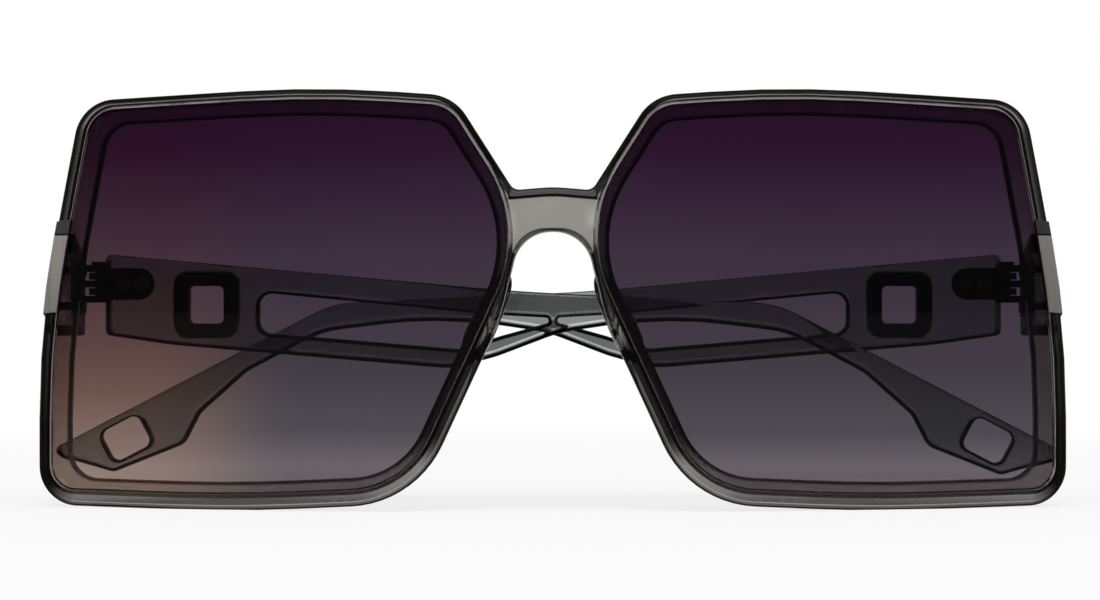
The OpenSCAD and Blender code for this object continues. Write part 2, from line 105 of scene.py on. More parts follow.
def newObject(name, data):
    made = bpy.data.objects.new(name, data)
    bpy.context.scene.collection.objects.link(made)
    return made


# Grid points keep clear of the loops by a share of their spacing. Line shares fade away from
# the loops. Points that lie closer than the weld become one.
meshing = {"clear": 0.45, "fadeTo": 1.6, "fadeWidth": 0.8, "sliver": 2e-4, "weld": 0.002,
           "sharpAngle": 38.0, "evenWeight": 60}


# Points, faces and line shares of one piece, gathered before they go into a mesh
class Shell:
    def __init__(self):
        self.points, self.lines, self.faces, self.count = [], [], [], 0

    def ring(self, points, line=0.0):
        start = self.count
        self.points.append(points)
        self.lines.append(np.broadcast_to(np.asarray(line, float), (len(points),)))
        self.count += len(points)
        return np.arange(start, self.count)

    # Four-sided faces from each ring to the next one
    def skin(self, rings):
        for a, b in zip(rings, rings[1:]):
            self.faces += np.stack([a, np.roll(a, -1), np.roll(b, -1), b], 1).tolist()

    # Closes one end of walls, which are loops with their rings, outer wall first. Triangles are
    # kept where a line to one side crosses the loops an odd number of times, and extra points
    # lie on a grid inside.
    def cap(self, walls, end, lift, spacing):
        loops, rings = [wall[0][end] for wall in walls], [wall[1][end] for wall in walls]
        flatPoints = np.concatenate(loops)
        index = np.concatenate(rings)
        low, high = flatPoints.min(0), flatPoints.max(0)
        gx, gz = np.meshgrid(np.arange(low[0], high[0], spacing),
                             np.arange(low[1], high[1], spacing))
        grid = np.stack([gx.ravel(), gz.ravel()], 1)
        inside = crossings(grid, loops) % 2 == 1
        lines = np.concatenate(self.lines)
        gap, share = nearestEdge(grid[inside], loops, [lines[r] for r in rings])
        apart = gap > spacing * meshing["clear"]
        grid = grid[inside][apart]
        fade = np.clip((meshing["fadeTo"] - gap) / meshing["fadeWidth"], 0, 1)
        share = (share * fade)[apart]
        index = np.concatenate([index, self.ring(lift(grid), share)])
        edges, start = [], 0
        for loop in loops:
            n = np.arange(start, start + len(loop))
            edges.append(np.stack([n, np.roll(n, -1)], 1))
            start += len(loop)
        allPoints = np.concatenate([flatPoints, grid])
        got = delaunay_2d_cdt([Vector(q) for q in allPoints], np.concatenate(edges).tolist(),
                              [], 0, 1e-7)
        spot = np.array([tuple(q) for q in got[0]])
        triangles = np.array(got[2])
        keep = crossings(spot[triangles].mean(1), loops) % 2 == 1
        a, b = (spot[triangles[:, i]] - spot[triangles[:, 0]] for i in (1, 2))
        area = np.abs(a[:, 0] * b[:, 1] - a[:, 1] * b[:, 0])
        # slivers lie on straight edges, and are left out
        keep &= area > meshing["sliver"] * np.maximum((a * a).sum(1), (b * b).sum(1))
        stray = [tuple(q) for q, o in zip(got[0], got[3]) if not o]
        if stray:
            raise ValueError(f"outlines cross near {stray[:6]}")
        origin = np.array([o[0] for o in got[3]])
        self.faces += index[origin[triangles[keep]]].tolist()

    def build(self, name, material):
        mesh = bpy.data.meshes.new(name)
        points = np.concatenate(self.points) * mm
        mesh.from_pydata(points.tolist(), [], self.faces)
        share = mesh.attributes.new("line", "FLOAT", "POINT")
        share.data.foreach_set("value", np.concatenate(self.lines).astype(np.float32))
        work = bmesh.new()
        work.from_mesh(mesh)
        bmesh.ops.remove_doubles(work, verts=work.verts, dist=meshing["weld"] * mm)
        bmesh.ops.recalc_face_normals(work, faces=work.faces)
        work.to_mesh(mesh)
        work.free()
        mesh.polygons.foreach_set("use_smooth", np.ones(len(mesh.polygons), bool))
        mesh.set_sharp_from_angle(angle=math.radians(meshing["sharpAngle"]))
        mesh.materials.append(material)
        piece = newObject(name, mesh)
        even = piece.modifiers.new("even normals", "WEIGHTED_NORMAL")
        even.keep_sharp = True
        even.weight = meshing["evenWeight"]
        return piece


# How many loop edges a line from each point towards greater x crosses
def crossings(points, loops):
    total = np.zeros(len(points), int)
    for loop in loops:
        a, b = loop, np.roll(loop, -1, 0)
        x, z = points[:, None, 0], points[:, None, 1]
        over = (a[None, :, 1] > z) != (b[None, :, 1] > z)
        rise = np.where(b[:, 1] == a[:, 1], 1.0, b[:, 1] - a[:, 1])
        at = a[None, :, 0] + (z - a[None, :, 1]) * ((b[:, 0] - a[:, 0]) / rise)[None]
        total += (over & (x < at)).sum(1)
    return total


# Distance of each point to the nearest loop edge, and the line share at that place
def nearestEdge(points, loops, lines):
    a = np.concatenate(loops)
    d = np.concatenate([np.roll(loop, -1, 0) for loop in loops]) - a
    first = np.concatenate(lines)
    last = np.concatenate([np.roll(line, -1) for line in lines])
    t = np.clip(((points[:, None] - a) * d).sum(2) / (d * d).sum(1), 0, 1)
    gaps = np.linalg.norm(points[:, None] - a - t[:, :, None] * d, axis=2)
    row, edge = np.arange(len(points)), gaps.argmin(1)
    t = t[row, edge]
    return gaps[row, edge], first[edge] * (1 - t) + last[edge] * t


# A node's output that sums can be written on
class Wire:
    def __init__(self, paint, socket):
        self.paint, self.socket = paint, socket

    def sum(self, operation, *values):
        return self.paint.node("ShaderNodeMath", {"operation": operation},
                               dict(enumerate(values)))

    def __add__(self, other): return self.sum("ADD", self, other)
    def __radd__(self, other): return self.sum("ADD", other, self)
    def __sub__(self, other): return self.sum("SUBTRACT", self, other)
    def __rsub__(self, other): return self.sum("SUBTRACT", other, self)
    def __mul__(self, other): return self.sum("MULTIPLY", self, other)
    def __rmul__(self, other): return self.sum("MULTIPLY", other, self)


# A node tree that is being drawn, for a material or the world
class Paint:
    def __init__(self, tree):
        self.tree = tree
        tree.nodes.clear()

    def node(self, kind, settings=None, inputs=None, out=0):
        made = self.tree.nodes.new(kind)
        for key, value in (settings or {}).items():
            if key == "stops":
                ramp = made.color_ramp
                while len(ramp.elements) < len(value):
                    ramp.elements.new(0.5)
                for stop, (place, colour) in zip(ramp.elements, value):
                    stop.position = place
                    stop.color = (*colour, 1)
            else:
                setattr(made, key, value)
        for key, value in (inputs or {}).items():
            if isinstance(value, Wire):
                self.tree.links.new(value.socket, made.inputs[key])
            else:
                made.inputs[key].default_value = value
        if isinstance(out, tuple):
            return [Wire(self, made.outputs[o]) for o in out]
        return Wire(self, made.outputs[out]) if len(made.outputs) else None

    def smooth(self, value, low, high, a=0.0, b=1.0):
        return self.node("ShaderNodeMapRange", {"interpolation_type": "SMOOTHSTEP"},
                         {"Value": value, "From Min": low, "From Max": high,
                          "To Min": a, "To Max": b})

    def blend(self, share, a, b):
        a = a if isinstance(a, Wire) else (*a, 1)
        b = b if isinstance(b, Wire) else (*b, 1)
        return self.node("ShaderNodeMix", {"data_type": "RGBA"}, {0: share, 6: a, 7: b}, out=2)

    def principled(self, inputs):
        return self.node("ShaderNodeBsdfPrincipled", {}, inputs)

    def place(self):
        return self.node("ShaderNodeTexCoord", out=3)

    def axes(self, vector):
        return self.node("ShaderNodeSeparateXYZ", {}, {0: vector}, out=(0, 1, 2))

    def grey(self, level):
        return self.node("ShaderNodeCombineXYZ", {}, {0: level, 1: level, 2: level})

    def rays(self):
        return self.node("ShaderNodeLightPath",
                         out=("Is Camera Ray", "Is Glossy Ray", "Is Transmission Ray"))

    def clampedSum(self, a, b):
        return self.node("ShaderNodeMath", {"operation": "ADD", "use_clamp": True},
                         {0: a, 1: b})

    def noise(self, place, scale, detail=3.0, rough=0.5, stretch=None):
        if stretch:
            place = self.node("ShaderNodeMapping", {}, {0: place, 3: stretch})
        return self.node("ShaderNodeTexNoise", {}, {"Vector": place, "Scale": scale,
                                                    "Detail": detail, "Roughness": rough})

    def bump(self, height, strength, distance, normal=None):
        inputs = {"Height": height, "Strength": strength, "Distance": distance}
        if normal:
            inputs["Normal"] = normal
        return self.node("ShaderNodeBump", {}, inputs)


def newMaterial(name):
    material = bpy.data.materials.new(name)
    material.use_nodes = True
    return material, Paint(material.node_tree)


def finishMaterial(paint, shader):
    paint.node("ShaderNodeOutputMaterial", {}, {"Surface": shader})


def scaled(colour, factor):
    return tuple(factor * c for c in colour)


# Clear smoky plastic with smears and fine hairlines. Where the line share is 1, it turns to a
# painted near black shade, the dark look of a thick clear edge, and where it is -1, to a painted
# pale highlight along a polished round. Thin is the tint beside the bridge, where the lens splits
# a wall, and low is a darker tint below a height: painted shade.
# dark is the colour of the painted shade, pale the colour of the painted highlight
smoky = {"tint": (0.30, 0.295, 0.265), "deep": (0.235, 0.235, 0.215), "ior": 1.49,
         "dark": (0.0025, 0.002, 0.0017), "darkest": 0.996,
         "pale": (0.80, 0.76, 0.70), "palest": 0.5, "paleIsClear": False,
         "thin": None, "fullTo": 5.5, "thinFrom": 8.5, "low": None, "lowTo": 0.0, "lowFade": 1.6,
         "cloud": 60.0, "hair": 900.0, "smear": 140.0, "polish": (0.012, 0.05)}


def smokyPlastic(name, **changes):
    look = {**smoky, **changes}
    dark, pale, ior, isClear = (look[k] for k in ("dark", "pale", "ior", "paleIsClear"))
    material, p = newMaterial(name)
    at = p.place()
    cloud = p.noise(at, look["cloud"], 2.0)
    hair = p.noise(at, look["hair"], 2.0, 0.6, (1.0, 1.0, 0.08))
    smear = p.noise(at, look["smear"], 4.0, 0.6)
    line = p.node("ShaderNodeAttribute", {"attribute_name": "line"}, out=2)
    colour = p.blend(p.smooth(cloud, 0.35, 0.7), look["tint"], look["deep"])
    # painted shade: a darker tint below a height
    if look["low"]:
        z = p.axes(at)[2]
        above = p.smooth(z, (look["lowTo"] - look["lowFade"]) * mm, look["lowTo"] * mm)
        colour = p.blend(above, look["low"], colour)
    if look["thin"]:
        x = p.axes(at)[0]
        aside = p.smooth(x * x, (look["fullTo"] * mm) ** 2, (look["thinFrom"] * mm) ** 2)
        colour = p.blend(aside, colour, look["thin"])
    rough = p.smooth(smear, 0.4, 0.8, *look["polish"])
    normal = p.bump(hair, 0.012, 0.2 * mm)
    clear = p.principled({
        "Base Color": colour, "Roughness": rough, "IOR": ior, "Transmission Weight": 1.0})
    # painted shade: near black where the line share is 1
    paintedDark = p.principled({
        "Base Color": p.blend(p.smooth(cloud, 0.3, 0.7), dark, scaled(dark, 2.2)),
        "Roughness": rough + 0.06, "IOR": ior, "Specular IOR Level": 0.05, "Normal": normal})
    # painted highlight: pale where the line share is below 0
    lit = p.principled({
        "Base Color": p.blend(p.smooth(smear, 0.35, 0.7), pale, scaled(pale, 0.6)),
        "Roughness": rough + 0.1, "IOR": 1.01 if isClear else ior,
        "Specular IOR Level": 0.1, "Normal": normal,
        "Transmission Weight": 1.0 if isClear else 0.0})
    shader = p.node("ShaderNodeMixShader", {}, {
        0: p.smooth(line, 0.0, 1.0, 0.0, look["darkest"]), 1: clear, 2: paintedDark})
    broken = p.smooth(smear, 0.3, 0.62, 0.35, 1.0)  # the pale line comes and goes
    shader = p.node("ShaderNodeMixShader", {}, {
        0: p.smooth(0 - line, 0.0, 1.0, 0.0, look["palest"]) * broken, 1: shader, 2: lit})
    finishMaterial(p, shader)
    return material


# Graded lens: plum above, mauve, then pale below. Towards the wearer's right it is warmer, a
# painted reflection of warm light seen through the lens. Stops are shares of the lens height
# with their colours.
lensTint = {
    "low": 2.3, "high": 57.1, "ior": 1.5, "warmFrom": 35.0, "warmTo": 58.0,
    "cool": [(0.0, (0.19, 0.165, 0.185)), (0.07, (0.155, 0.135, 0.155)),
             (0.16, (0.078, 0.073, 0.086)), (0.32, (0.056, 0.046, 0.060)),
             (0.62, (0.048, 0.029, 0.053)), (0.72, (0.037, 0.018, 0.040)),
             (0.87, (0.024, 0.006, 0.025)), (1.0, (0.018, 0.004, 0.020))],
    # the warm stops are the painted reflection towards the wearer's right
    "warm": [(0.0, (0.40, 0.29, 0.25)), (0.10, (0.25, 0.175, 0.15)),
             (0.25, (0.155, 0.093, 0.076)), (0.38, (0.105, 0.056, 0.055)),
             (0.62, (0.058, 0.028, 0.043)), (0.72, (0.043, 0.017, 0.033)),
             (0.87, (0.024, 0.004, 0.020)), (1.0, (0.017, 0.003, 0.016))],
}


def gradedLens(name):
    material, p = newMaterial(name)
    at = p.place()
    x, _, z = p.axes(at)
    height = (lensTint["high"] - lensTint["low"]) * mm
    share = (z - lensTint["low"] * mm) * (1 / height)
    share = share + (p.noise(at, 25.0, 2.0) - 0.5) * 0.05
    cool = p.node("ShaderNodeValToRGB", {"stops": lensTint["cool"]}, {0: share})
    warm = p.node("ShaderNodeValToRGB", {"stops": lensTint["warm"]}, {0: share})
    # painted reflection: warmer towards the wearer's right
    side = p.smooth(0 - x, lensTint["warmFrom"] * mm, lensTint["warmTo"] * mm)
    smear = p.noise(at, 90.0, 4.0, 0.6)
    shader = p.principled({
        "Base Color": p.blend(side, cool, warm),
        "Roughness": p.smooth(smear, 0.45, 0.8, 0.0, 0.03), "IOR": lensTint["ior"],
        "Transmission Weight": 1.0})
    finishMaterial(p, shader)
    return material


# Metal whose edges are rubbed bright. The edge mask is how far a rounded normal turns away
# from the face's own, and the grain is noise drawn out along one axis. Above a height a plate can
# get painted shade: a black line, then a dark upper end.
def metal(name, colour, worn, rough, grain, stretch, wear, paintedShadeEnd=None):
    material, p = newMaterial(name)
    at = p.place()
    soft = p.node("ShaderNodeBevel", {"samples": 6}, {"Radius": 0.12 * mm})
    geometry = p.node("ShaderNodeNewGeometry", out=1)
    facing = p.node("ShaderNodeVectorMath", {"operation": "DOT_PRODUCT"}, {0: soft, 1: geometry},
                    out=1)
    dust = p.noise(at, 400.0, 4.0, 0.6)
    rubbed = p.smooth(1 - facing, 0.005, 0.12) * p.smooth(dust, 0.35, 0.6)
    lines = p.noise(at, grain, 3.0, 0.6, stretch)
    shade = p.blend(p.smooth(lines, 0.3, 0.7), colour, scaled(colour, 0.82))
    shade = p.blend(rubbed * wear, shade, worn)
    # painted shade: a black line, then a dark upper end
    if paintedShadeEnd:
        z = p.axes(at)[2]
        start, end = paintedShadeEnd["from"] * mm, (paintedShadeEnd["from"] + paintedShadeEnd["lineWidth"]) * mm
        shade = p.blend(p.smooth(z, start, start + paintedShadeEnd["soft"] * mm), shade, paintedShadeEnd["line"])
        shade = p.blend(p.smooth(z, end, end + paintedShadeEnd["soft"] * mm), shade, paintedShadeEnd["colour"])
    roughness = p.smooth(lines, 0.25, 0.75, rough * 0.85, rough * 1.2) - rubbed * 0.06
    normal = p.bump(lines, 0.12, 0.03 * mm, soft)
    shader = p.principled({
        "Base Color": shade, "Metallic": 1.0, "Roughness": roughness, "Normal": normal})
    finishMaterial(p, shader)
    return material


metals = {
    "satin corner plate": {
        "colour": (0.47, 0.445, 0.41), "worn": (0.57, 0.55, 0.52), "rough": 0.42,
        "grain": 500.0, "stretch": (1.0, 1.0, 0.05), "wear": 0.5,
        # painted shade on the plate's upper end, with a black line below it
        "paintedShadeEnd": {"from": 38.2, "lineWidth": 0.25, "soft": 0.1, "line": (0.012, 0.011, 0.010),
                  "colour": (0.085, 0.075, 0.070)}},
    "dark hinge metal": {
        "colour": (0.055, 0.050, 0.052), "worn": (0.30, 0.28, 0.27), "rough": 0.33,
        "grain": 700.0, "stretch": (0.1, 1.0, 1.0), "wear": 0.35},
    "screw steel": {
        "colour": (0.36, 0.35, 0.34), "worn": (0.7, 0.69, 0.67), "rough": 0.28,
        "grain": 900.0, "stretch": (1.0, 1.0, 1.0), "wear": 0.6},
    "dark ring metal": {
        "colour": (0.045, 0.038, 0.040), "worn": (0.22, 0.20, 0.19), "rough": 0.2,
        "grain": 600.0, "stretch": (0.1, 1.0, 1.0), "wear": 0.4},
}

print("materials")
framePlastic = smokyPlastic("smoky plastic", thin=(0.66, 0.64, 0.60))
armPlastic = smokyPlastic("smoky plastic of the arms",
                          tint=(0.25, 0.27, 0.265), deep=(0.20, 0.215, 0.21),
                          thin=(0.35, 0.365, 0.36), fullTo=8.0, thinFrom=14.0,
                          # painted shade: a darker tint on the arms below 26 mm
                          low=(0.135, 0.145, 0.14), lowTo=26.0,
                          # painted highlights: pale lines that let light through
                          pale=(1.0, 1.0, 1.0), palest=0.75, paleIsClear=True)
padPlastic = smokyPlastic("clear pad plastic", tint=(0.52, 0.52, 0.49), deep=(0.44, 0.44, 0.41),
                          ior=1.47)
lensPaint = gradedLens("graded lens")
plateMetal, hingeMetal, screwMetal, ringMetal = (metal(k, **metals[k]) for k in metals)

# Rims and flanges are the widths beside each edge of the lens outline
front = {
    "lensW": 66.8, "lensH": 54.8, "lensGap": 7.7, "lensT": 1.9, "lensBite": 0.8, "fit": 0.04,
    "faceR": 240.0, "rimT": 4.6, "lipT": 0.9, "footCut": 0.2, "ballShare": 0.491,
    "rims": [1.65, 1.65, 2.0, 2.0, 2.5, 2.5, 2.3, 1.45],
    "flanges": [2.0, 2.0, 2.7, 2.7, 1.4, 1.4, 1.1, 1.8], "flangeRound": 0.07,
    "bridgeShare": 0.7665, "bridgeH": 5.7, "archW": 12.4, "crown": 0.45, "crownRound": 20.0,
    "browRound": 0.26, "noseSide": 0.59, "noseRound": 4.5, "archSide": 0.351,
    "archRound": 0.427, "frontRound": 0.75, "lipRound": 0.25, "backRound": 0.55,
    "spacing": 1.6, "faceGrid": 1.4, "backGrid": 1.6,
}
lensShares = np.array([
    [0.158, 0.976, 0.14], [0.426, 1, 0.582], [0.911, 0.973, 0.102], [0.995, 0.414, 0.554],
    [1, 0.008, 0.143], [0.601, 0, 0.345], [0.248, 0.022, 0.319], [0, 0.673, 0.5]])
lensLow = front["rims"][4] - front["footCut"]
ballZ = lensLow + front["ballShare"] * front["lensH"]


# Depth at which a ball about the centre of the face curve passes a point
def ballY(r, x, z):
    return front["faceR"] - np.sqrt(r * r - x * x - (z - ballZ) ** 2)


# Lens corners: shares of its width and height, and a radius whose rounding takes up a share
# of the shorter edge beside the corner
def lensOutline():
    p = (front["lensGap"] / 2, lensLow) + lensShares[:, :2] * (front["lensW"], front["lensH"])
    a, b = p - np.roll(p, 1, 0), np.roll(p, -1, 0) - p
    turn = np.abs(np.arctan2(a[:, 0] * b[:, 1] - a[:, 1] * b[:, 0], (a * b).sum(1)))
    short = np.minimum(np.linalg.norm(a, axis=1), np.linalg.norm(b, axis=1))
    return np.column_stack([p, lensShares[:, 2] * short / np.tan(turn / 2)])


lensCorners = lensOutline()
rimCorners = grow(lensCorners, front["rims"])
flangeCorners = grow(lensCorners, [-w for w in front["flanges"]])
flangeCorners[:, 2] = np.maximum(flangeCorners[:, 2], front["flangeRound"] * front["lensH"])


# Where the line through two corners is at a height
def edgeX(a, b, z):
    return a[0] + (z - a[1]) * (b[0] - a[0]) / (b[1] - a[1])


# The left half from the bridge round to the arch, then its mirror image
def frontOutline():
    bridgeZ = lensLow + front["bridgeShare"] * front["lensH"]
    bridgeH, archW = front["bridgeH"], front["archW"]
    a, b = rimCorners[6:]
    noseX = front["noseSide"] * archW
    noseZ = a[1] + (noseX - a[0]) * (b[1] - a[1]) / (b[0] - a[0])
    half = [[edgeX(b, rimCorners[0], bridgeZ), bridgeZ, front["browRound"] * bridgeH],
            *rimCorners[:7].tolist(), [noseX, noseZ, front["noseRound"] * bridgeH],
            [front["archSide"] * archW, bridgeZ - bridgeH, front["archRound"] * archW]]
    mirrored = [[-x, z, r] for x, z, r in half[::-1]]
    return np.array([[0, bridgeZ + front["crown"], front["crownRound"]], *half, *mirrored])


frontCorners = frontOutline()

# The pivot lies inward of the outline's widest corner and behind the rim
hinge = {"heightShare": 0.533, "inward": 7.3, "behind": 5.25, "buttGap": 0.15, "knuckleR": 1.55,
         "leafShare": 0.29}
hingeZ = lensLow + hinge["heightShare"] * front["lensH"]
hingeX = (front["lensGap"] / 2 + lensShares[3, 0] * front["lensW"] + front["rims"][3]
          - hinge["inward"])
hingeY = ballY(front["faceR"], hingeX + hinge["inward"], ballZ) + front["rimT"] + hinge["behind"]
buttY = hingeY - hinge["buttGap"]
armIn = hinge["knuckleR"] + hinge["leafShare"] * hinge["knuckleR"]


# Fold angles, worked out as in the solids, set the depth of the whole and so the origin
arm = {"length": 137.4, "headH": 11.9, "headT": 3.6, "barT": 2.5, "tailT": 2.3, "headTo": 1.4,
       "barFrom": 0.066, "barTo": 0.6, "tailFrom": 0.72, "runIn": 3.0, "bend": 0.235,
       "tailDrop": 24.5, "tipDrop": 1.975, "splay": 4.0, "mitre": 4.0, "rimGap": 0.5,
       "passShare": 0.138, "passGap": 0.4, "proud": 0.03, "start": 0.29, "startRound": 0.9,
       "round": 0.7, "slotRound": 0.5, "seatRound": 0.12, "spacing": 1.6, "grid": 1.8}
tipZ = hingeZ - arm["tipDrop"] * arm["headH"]
tipS = min(arm["length"], 2 * hingeX + hinge["inward"])
tipRimY = ballY(front["faceR"] - front["rimT"], tipS - hingeX, tipZ)
foldRight = -math.asin((hingeY + armIn - arm["rimGap"] - tipRimY) / tipS)
passS = arm["passShare"] * arm["length"]
foldLeft = math.asin((arm["barT"] + arm["passGap"] + passS * math.sin(foldRight))
                     / (2 * hingeX - passS))
frontY = -(hingeY + armIn + arm["tailT"] + arm["length"] * math.sin(foldLeft)) / 2


# Puts a front view point at a depth behind the face: y follows a ball whose radius is
# smaller by the depth, about the same centre
def put(p, depth):
    return np.insert(p, 1, ballY(front["faceR"] - depth, p[:, 0], p[:, 1]) + frontY, 1)


# The outline is cut flat where the front stands
def standing(loop):
    return np.maximum(loop, (-np.inf, 0))


# Line shares against the direction that the rim faces: degrees from straight up, towards the
# side and on to the nose. They paint shade and highlights: shares near 1 are painted dark lines,
# shares below 0 painted pale highlights, and glint is a painted glint that lightens a dark line.
# Face, shoulder, outer and glint run over the outer round. Near, lip and edge lie before the
# lens, band and wide on the flange behind it, inner on its edge.
rimShade = {
    "turn": [0, 60, 80, 92, 120, 160, 180, 205, 230, 246, 260, 268, 300, 330, 360],
    "face": [0.7, 0.8, 0.9, 1, 1, 0.7, 0.55, 0.55, 0.6, 0.95, 0.85, 0, -0.6, 0, 0.7],
    "near": [-0.9, 0.2, 0.7, 1, 1, 0.7, 0.55, 0.55, 0.6, 0.95, 0.85, -0.7, -1, -0.9, -0.9],
    "shoulder": [0.7, 0.9, 1, 1, 1, 0.6, 0.4, 0.4, 0.45, 0.7, 0.9, 1, 1, 0.9, 0.7],
    "outer": [1, 1, 1, 1, 1, 0.85, 0.75, 0.7, 0.7, 0.8, 0.9, 1, 1, 1, 1],
    "glint": [0, 0.1, 0.15, 0.2, 0.2, 0.2, 0.1, 0.2, 0.2, 0.2, 0.2, 0.2, 0.1, 0, 0],
    "lip": [1, 0.9, 0.7, 0.9, 0.9, 0.5, 0.35, 0.4, 0.4, 0.4, 0.45, 0.7, 0.8, 0.9, 1],
    "edge": [1, 0.8, 0.5, 0, 0.1, 0.8, 1, 1, 1, 1, 0.8, 0.5, 0.6, 0.8, 1],
    "band": [0.1, 0.1, 0, 0, 0, 0, 0, 0.1, 0.4, 0.8, 0.5, 0.3, 0.3, 0.2, 0.1],
    "wide": [0.2, 0.6, 0.9, 0.7, 0.6, 0.3, 0, 0.3, 0.7, 1, 1, 0.9, 0.9, 0.5, 0.2],
    "inner": [1, 1, 1, 1, 1, 0.8, 0.6, 0.7, 0.9, 1, 1, 1, 1, 1, 1],
}

# The bridge has its own shares of painted shade and highlight. Face rows give their inset on
# the rims, their inset on the bridge's top, and the share there. Top and arch run from the face
# over the round.
bridge = {"middleTo": 9.6, "middleFade": 2.0, "topTo": 8.2, "topFade": 1.6, "corner": 3.6,
          "faceRows": [(0.77, 1.42, 0.0), (0.765, 1.2, 1.0), (0.76, 0.98, 1.0),
                       (0.755, 0.84, 0.65)],
          "top": (0.65, 0.65, 0.7, 0.75, 0.85, 0.95, 1),
          "arch": (0, 0.1, 0.9, 0.25, -0.6, -0.7, -0.2), "archWall": 0.1}

# Rows beside an opening's rounds, by their insets, and rows on the outer wall. Pale is a painted
# highlight share, and the groove and wall shades are painted dark shares.
opening = {"lipRows": (0.08, 0.04), "pale": -0.9, "grooveShade": 0.5,
           "flangeRows": (0.75, 0.5, 0.12), "wallRows": (0.3, 0.7), "wallShade": 0.15}


# Line share at each point of a loop, from the direction that the loop faces there
def shadeOf(kind, loop):
    n = outward(loop)
    turn = np.degrees(np.arctan2(n[:, 0] * np.sign(loop[:, 0] + 1e-6), n[:, 1])) % 360
    return np.interp(turn, rimShade["turn"], rimShade[kind])


# One moulding. A profile is carried round the outline: a quarter round, a straight wall and a
# smaller quarter round. Each opening has a lip in front, a groove for the lens and a flange
# behind, carried round the lens outline in the same way.
def makeFront():
    s = Shell()
    step, fr, br, lr = (front[k] for k in ("spacing", "frontRound", "backRound", "lipRound"))
    depth, lipT, groove = front["rimT"], front["lipT"], front["lensBite"] + front["fit"]
    lensBack = lipT + front["lensT"]
    angles = np.radians(np.linspace(0, 90, 7))

    def outer(inset):
        return standing(roundCorners(grow(frontCorners, -inset), step, frontCorners))

    # the rows below paint shade and highlights on the rims, the bridge and the walls
    rim = outer(0)
    aside, up = np.abs(rim[:, 0]), outward(rim)[:, 1]
    middle = np.clip((bridge["middleTo"] - aside) / bridge["middleFade"], 0, 1)
    top = np.clip((bridge["topTo"] - aside) / bridge["topFade"], 0, 1)
    top = top * np.clip((up - 0.4) / 0.4, 0, 1)
    arch = middle * np.clip((0.1 - up) / 0.3, 0, 1)
    corner = bridge["corner"] * top * (1 - top)  # the dark line runs out to the brow's
    face = shadeOf("face", rim) * (1 - middle)
    line, glint = shadeOf("outer", rim), shadeOf("glint", rim)
    rings, loops = [], []
    for onRim, onTop, shade in bridge["faceRows"]:
        loops.append(outer(onRim) + (outer(onTop) - outer(onRim)) * top[:, None])
        e = face + np.minimum(2.5 * top, 1) * (shade - face)
        rings.append(s.ring(put(loops[-1], 0), np.maximum(e, corner)))
    # from the face over the round: painted dark, with a thin painted glint before the outline
    onRim = [shadeOf("shoulder", rim), line, line, line, line * (1 - glint), 0.9 * line, line]
    for t, e, eTop, eArch in zip(angles, onRim, bridge["top"], bridge["arch"]):
        e = np.maximum(e + (eTop - e) * top, np.minimum(corner, line))
        e = e + (eArch - e) * arch
        loops.append(outer(fr * (1 - math.sin(t))))
        rings.append(s.ring(put(loops[-1], fr * (1 - math.cos(t))), e))
    wall = line + (bridge["archWall"] - line) * arch
    for t in opening["wallRows"]:
        rings.append(s.ring(put(rim, fr + (depth - fr - br) * t), opening["wallShade"] * wall))
    for t in angles:
        loops.append(outer(br * (1 - math.cos(t))))
        rings.append(s.ring(put(loops[-1], depth - br * (1 - math.sin(t))),
                            wall * math.cos(t)))
    s.skin(rings)
    walls = [(loops, rings)]

    for side in (1, -1):
        def lens(width):
            return roundCorners(grow(lensCorners, width), step, lensCorners) * (side, 1)

        def flange(width):
            return roundCorners(grow(flangeCorners, width), step, lensCorners) * (side, 1)

        half = lens(0) * (side, 1)
        near, lip, edge, band, wide, inner = (
            shadeOf(kind, half) for kind in ("near", "lip", "edge", "band", "wide", "inner"))
        pale = opening["pale"] * lip
        first, second = opening["lipRows"]
        rows = [(lens, lr + first, 0, near), (lens, lr + second, 0, pale)]
        rows += [(lens, lr * (1 - math.sin(t)), lr * (1 - math.cos(t)), e)
                 for t, e in zip(angles[::2], (pale, 0.7 * edge - 0.5 * (1 - edge), edge, edge))]
        rows += [(lens, 0, lipT, opening["grooveShade"]), (lens, groove, lipT, 0),
                 (lens, groove, lensBack, band)]
        first, second, third = opening["flangeRows"]
        rows += [(flange, first, lensBack, band), (flange, second, lensBack, wide),
                 (flange, third, lensBack, wide - 0.6 * lip * (1 - wide)),
                 (flange, 0, lensBack + third, 0.9 * inner)]
        rows += [(flange, br * (1 - math.cos(t)), depth - br * (1 - math.sin(t)),
                  inner * math.cos(t) ** 0.5 if t < 1.5 else 0.0) for t in angles]
        loops = [f(w) for f, w, _, _ in rows]
        rings = [s.ring(put(loop, d), e) for loop, (_, _, d, e) in zip(loops, rows)]
        s.skin(rings)
        walls.append((loops, rings))
    s.cap(walls, 0, lambda g: put(g, 0), front["faceGrid"])
    s.cap(walls, -1, lambda g: put(g, depth), front["backGrid"])
    makeEndBlocks(s)
    piece = s.build("front_moulding", framePlastic)
    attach(piece, "front")
    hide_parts("front_frame")


# The first row lies on the rim's back. Low and top are shares of the head's height at the rim
# and at the butt face. Like is a section that sets how many points each row has.
# shade and buttShade are shares of painted shade on the block's walls and at its butt
endBlock = {"proud": 0.03, "round": 0.5, "gap": 0.02, "sideFrom": 50.0, "startBack": 2.4,
            "rows": (15.0, 15.5, 16.5, 17.5, 18.5, 19.5), "shade": 0.1,
            "buttRows": ((0.3, 0), (0.1, 0.12), (0, 0.35)), "buttShade": 0.6,
            "low": (0.345, 0.63), "top": (0.84, 0.361), "spacing": 1.5, "grid": 2.0,
            "like": [[0, 12, 0], [5, 12, 0], [5, 0, 0], [0, 0, 0]]}


